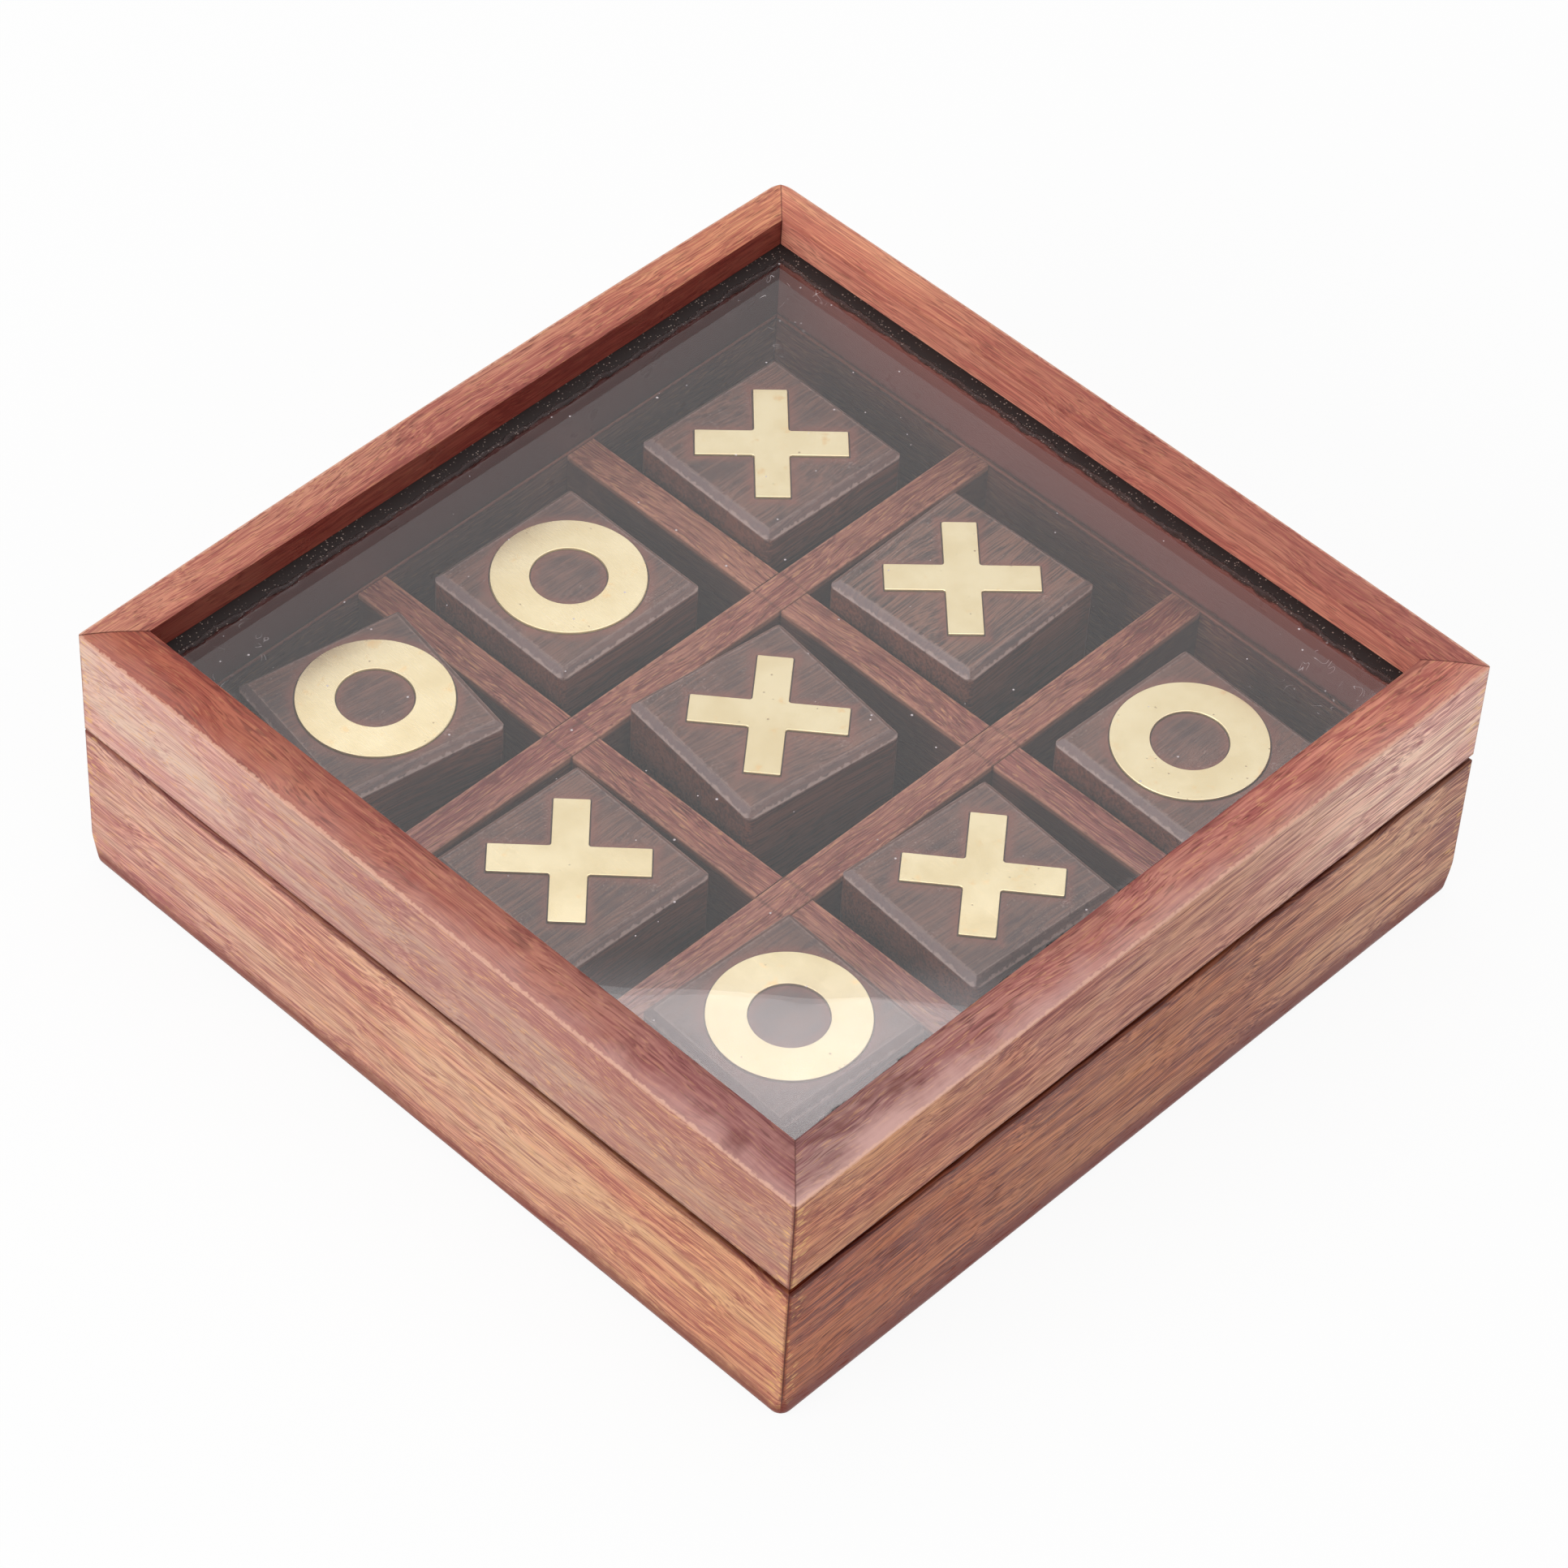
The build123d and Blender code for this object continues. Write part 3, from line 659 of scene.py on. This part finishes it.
def pane_glass():
    """Clear glass, dusty by the rails, with a painted glare over its front left corner and a dark band along
    its edge. It bends what the camera sees and lets the light straight through.
    """
    s = Shader("glass")
    x, y, _ = s.parts(s.at)
    edge = s.less(inner_half, s.high(s.size(x), s.size(y)))
    corner = s.high(s.size(s.less(inner_half, s.size(x))), s.size(s.less(inner_half, s.size(y))))
    up = s.ramp(s.part(s.facing, "Z"), 0.5, 0.9)
    grime = s.noise(s.at, (5, 5, 5), 3.0, 0.65)
    ragged = s.times(s.less(grime, 0.5), 2.4)

    # Dust: specks all over, finer crumbs by the rails, and motes and threads in the corners
    specks = s.dashes(s.at, (2.2, 2.2, 2.2), 0.16, 0.12)
    crumbs = s.dashes(s.vector("ADD", s.at, (3.3, 1.7, 0.2)), (0.42, 0.42, 0.42), 0.6, 0.42)
    motes = s.dashes(s.vector("ADD", s.at, (1, 2, 3)), (1.6, 1.6, 1.6), 0.16, 0.18)
    border = s.ramp(s.add(edge, s.times(ragged, 1.2)), 3.6, 2.0)
    nook = s.ramp(s.add(corner, s.times(ragged, 2.0)), 24.0, 6.0)
    fluff = s.noise(s.vector("ADD", s.at, (9, 2, 0)), (5, 5, 5), 1.0, 0.5, 1.5)
    threads = s.ramp(s.size(s.less(fluff, 0.5)), 0.008, 0.003)
    patch = s.ramp(s.noise(s.vector("ADD", s.at, (5, 60, 1)), (4, 4, 4), 1.0), 0.62, 0.66)
    bits = s.high(s.times(specks, 0.9), s.times(crumbs, border, 0.5), s.times(motes, nook, 0.6))
    dust = s.times(s.high(bits, s.times(threads, patch, nook, 0.7)), up)

    # Film of dust by the rails, painted glare over the front left corner, and a dark band packed along the
    # edge
    diagonal = s.add(x, y, s.times(ragged, 2.5))
    # Painted glare: a milky film standing in for the light mirrored in the pane
    smear = s.add(
        s.ramp(diagonal, -80.0, -104.0, 0.0, glare_share),
        s.ramp(diagonal, -100.0, -136.0, 0.0, glare_rise),
    )
    film_and_glare = s.times(s.high(s.times(border, 0.1), smear), up)
    # Dark band packed along the edge of the pane, with pale crumbs in it
    packed = s.times(s.ramp(s.add(edge, ragged), 2.7, 2.1), up)
    pale = s.times(crumbs, s.ramp(grime, 0.36, 0.54))
    dark_band = s.blend(s.times(pale, 0.8), dark_band_tint, crumb_tint)

    wavy = s.bump(s.noise(s.at, (24, 24, 24), 1.0), 0.00002, 1.0)
    clear = s.surface(glass_tint, 0.0, wavy, IOR=1.5, Transmission_Weight=1.0)
    dust_glare_and_band = s.surface(s.blend(s.ramp(packed, 0.0, 0.12), film_and_glare_tint, dark_band), 0.8)
    seen = s.either(s.high(dust, film_and_glare, packed), clear, dust_glare_and_band)
    path = s.node("LightPath").outputs
    looking = s.high(path["Is Camera Ray"], path["Is Singular Ray"])
    through = s.node("BsdfTransparent", Color=white).outputs[0]
    return s.finish(s.either(looking, through, seen))


# Looks that more than one board shares
lid_outer_back = Look(*even(180, 124, 104), 0.26)
lid_inner_front = Look(*even(120, 64, 52), 0.22)
base_outer_back = Look(srgb(176, 122, 100), srgb(170, 116, 94), srgb(176, 122, 100), 0.3, 0.55, 0.25, 0.3)
base_inner = Look(*even(104, 66, 60), 0.2)

boards = {
    "lid_rail_front": Board(
        "X", (11, 2, 40),
        Look(srgb(172, 100, 76), srgb(168, 101, 88), srgb(209, 150, 144), 0.45, 0.4, 0.2, 0.2, 0.7),
        lid_inner_front,
        Look(srgb(151, 104, 102), srgb(175, 105, 96), srgb(195, 120, 104), 0.25, 0.42, 0.5, 0.3),
        (2.0, 2.0, 1.5), (1.0, 0.3), 0.22,
    ),
    "lid_rail_left": Board(
        "Y", (71, 33, 5),
        Look(srgb(177, 124, 109), srgb(181, 130, 120), srgb(208, 160, 150), 0.2, 0.2, 0.05, 0.5, 0.8),
        lid_inner_front,
        Look(srgb(149, 93, 91), srgb(163, 95, 82), srgb(161, 82, 65), 0.21, 0.36, 0.45, 0.15),
        (2.0, 2.2, 1.5), (0.6, 0.2), 0.1,
    ),
    "lid_rail_back": Board(
        "X", (131, 12, 22),
        lid_outer_back,
        Look(srgb(129, 60, 53), srgb(129, 60, 53), srgb(129, 61, 54), 0.22, 0.3, 0.2, 0.05),
        Look(srgb(191, 119, 102), srgb(184, 115, 99), srgb(207, 130, 102), 0.24, 0.45, 0.3, 0.3),
        (1.5, 0.25, 1.3), (0.0, 0.0), 0.1,
    ),
    "lid_rail_right": Board(
        "Y", (31, 54, 62),
        lid_outer_back,
        Look(srgb(214, 135, 120), srgb(210, 131, 117), srgb(228, 147, 129), 0.2, 0.35, 0.2, 0.1),
        Look(srgb(169, 96, 85), srgb(174, 96, 82), srgb(222, 144, 116), 0.23, 0.36, 0.3, 0.2),
        (1.5, 0.9, 1.3), (0.0, 0.0), 0.1,
    ),
    "base_wall_front": Board(
        "X", (47, 82, 15),
        Look(srgb(141, 63, 42), srgb(147, 75, 55), srgb(167, 102, 88), 0.62, 0.42, 0.25, 0.1, 0.6),
        base_inner,
    ),
    "base_wall_left": Board(
        "Y", (3, 61, 91),
        Look(srgb(194, 128, 101), srgb(195, 135, 117), srgb(193, 133, 123), 0.33, 0.25, 0.1, 0.45, 0.9),
        base_inner,
    ),
    "base_wall_back": Board("X", (22, 44, 73), base_outer_back, base_inner),
    "base_wall_right": Board("Y", (84, 16, 37), base_outer_back, Look(*even(112, 66, 58), 0.2)),
}

strips = {
    "long_strip_front": ("X", (9, 91, 13)),
    "long_strip_back": ("X", (59, 27, 3)),
    "short_strip_left": ("Y", (15, 43, 51)),
    "short_strip_right": ("Y", (77, 8, 29)),
}
strip_look = Look(srgb(156, 92, 86), srgb(148, 86, 76), srgb(142, 82, 72), 0.36, 0.55, 0.4, 0.35)
strip_dull = 0.45
floor_look = Look(*even(84, 52, 46), 0.24, 0.4, 0.2, 0.05)
floor_dull = 0.6


class Piece(NamedTuple):
    """One block with its mark: what the functions for its wood and its brass are given."""

    mark: str
    seed: tuple
    warm: float
    grainy: float
    dull: float = 0.13
    shade: float = 1.0


pieces = {
    "front_left": Piece("ring", (1, 2, 3), 0.4, 0.15, shade=0.86),
    "front_centre": Piece("cross", (21, 12, 33), 0.4, 0.25),
    "front_right": Piece("ring", (41, 22, 13), 0.6, 0.25),
    "middle_left": Piece("cross", (61, 32, 23), 0.8, 0.45),
    "middle_centre": Piece("cross", (81, 42, 33), 0.7, 0.35),
    "middle_right": Piece("cross", (15, 52, 43), 0.9, 1.0),
    "back_left": Piece("ring", (35, 62, 53), 0.5, 0.25, 0.26, 0.93),
    "back_centre": Piece("ring", (55, 72, 63), 0.5, 0.3, 0.26, 0.95),
    "back_right": Piece("cross", (75, 82, 73), 0.7, 0.4),
}


def dress(name, material):
    """Gives a node its material."""
    slots = nodes[name].data.materials
    if not slots:
        slots.append(material)
    for index in range(len(slots)):
        slots[index] = material


def set_materials():
    for name, board in boards.items():
        dress(name, frame_wood("box_wood_" + name, board, name.startswith("lid")))
    for name, (fibre, seed) in strips.items():
        dress(name, plain_wood(name + "_wood", fibre, seed, strip_look, strip_dull, True))
    dress("base_floor", plain_wood("floor_wood", "X", (5, 5, 5), floor_look, floor_dull, False))
    for cell, piece in pieces.items():
        mark = piece.mark + "_" + cell
        dress("block_" + cell, block_wood(cell, piece.mark, piece.seed, piece.warm, piece.grainy))
        dress(mark, mark_brass(mark, piece.seed, piece.dull, piece.shade))
    metal = hinge_brass()
    for name in nodes:
        if name.startswith("hinge_"):
            dress(name, metal)
    dress("glass_pane", pane_glass())


def set_world():
    """White surroundings for what is seen and mirrored, dimmer for what lights the object."""
    world = bpy.data.worlds.new("surroundings")
    world.use_nodes = True
    tree = world.node_tree
    tree.nodes.clear()
    path = tree.nodes.new("ShaderNodeLightPath").outputs
    seen = path["Is Camera Ray"]
    for other in ("Is Glossy Ray", "Is Transmission Ray"):
        either = tree.nodes.new("ShaderNodeMath")
        either.operation = "MAXIMUM"
        tree.links.new(seen, either.inputs[0])
        tree.links.new(path[other], either.inputs[1])
        seen = either.outputs[0]
    level = tree.nodes.new("ShaderNodeMapRange")
    tree.links.new(seen, level.inputs[0])
    level.inputs[3].default_value = world_level
    level.inputs[4].default_value = 1.0
    background = tree.nodes.new("ShaderNodeBackground")
    background.inputs["Color"].default_value = white
    tree.links.new(level.outputs[0], background.inputs["Strength"])
    output = tree.nodes.new("ShaderNodeOutputWorld")
    tree.links.new(background.outputs[0], output.inputs["Surface"])
    bpy.context.scene.world = world


table_tint = srgb(244, 244, 244)


def set_floor():
    """Large pale table top that keeps a soft shadow but is otherwise as white as the surroundings."""
    mesh = bpy.data.meshes.new("table_top")
    reach = table_width / 2
    corners = [(-reach, -reach, 0), (reach, -reach, 0), (reach, reach, 0), (-reach, reach, 0)]
    mesh.from_pydata(corners, [], [(0, 1, 2, 3)])
    table = bpy.data.objects.new("table_top", mesh)
    bpy.context.scene.collection.objects.link(table)
    s = Shader("table_top")
    matt = s.node("BsdfDiffuse", Color=table_tint, Roughness=1.0).outputs[0]
    glow = s.node("Emission", Color=white, Strength=1.0).outputs[0]
    path = s.node("LightPath").outputs
    seen = s.high(path["Is Camera Ray"], path["Is Glossy Ray"], path["Is Transmission Ray"])
    mesh.materials.append(s.finish(s.either(s.times(seen, table_white), matt, glow)))


def lamp(name, place, target, size, power):
    """Square soft box at place, in metres, turned to target."""
    light = bpy.data.lights.new(name, "AREA")
    light.shape = "SQUARE"
    light.size = size
    light.energy = power
    holder = bpy.data.objects.new(name, light)
    holder.location = place
    holder.rotation_euler = (Vector(target) - Vector(place)).to_track_quat("-Z", "Y").to_euler()
    bpy.context.scene.collection.objects.link(holder)


def set_lamps():
    lamp("key", key_place, side_lamp_target, side_lamp_size, key_power)
    lamp("fill", fill_place, side_lamp_target, side_lamp_size, fill_power)
    rise = math.radians(top_height)
    turn = math.radians(top_turn)
    away = Vector((math.cos(rise) * math.cos(turn), math.cos(rise) * math.sin(turn), math.sin(rise)))
    lamp("top", away * top_distance, top_target, top_size, top_power)


def set_camera():
    lens = bpy.data.cameras.new("camera")
    lens.lens = camera_lens
    lens.sensor_width = camera_sensor
    lens.clip_start = camera_near
    lens.clip_end = camera_far
    camera = bpy.data.objects.new("camera", lens)
    camera.location = camera_place
    turn = (Vector(camera_target) - Vector(camera_place)).to_track_quat("-Z", "Y").to_matrix().to_4x4()
    roll = Matrix.Rotation(math.radians(camera_roll), 4, "Z")
    camera.rotation_euler = (turn @ roll).to_euler()
    bpy.context.scene.collection.objects.link(camera)
    bpy.context.scene.camera = camera


set_materials()
set_world()
set_floor()
set_lamps()
set_camera()
bpy.context.scene.view_settings.view_transform = "Standard"
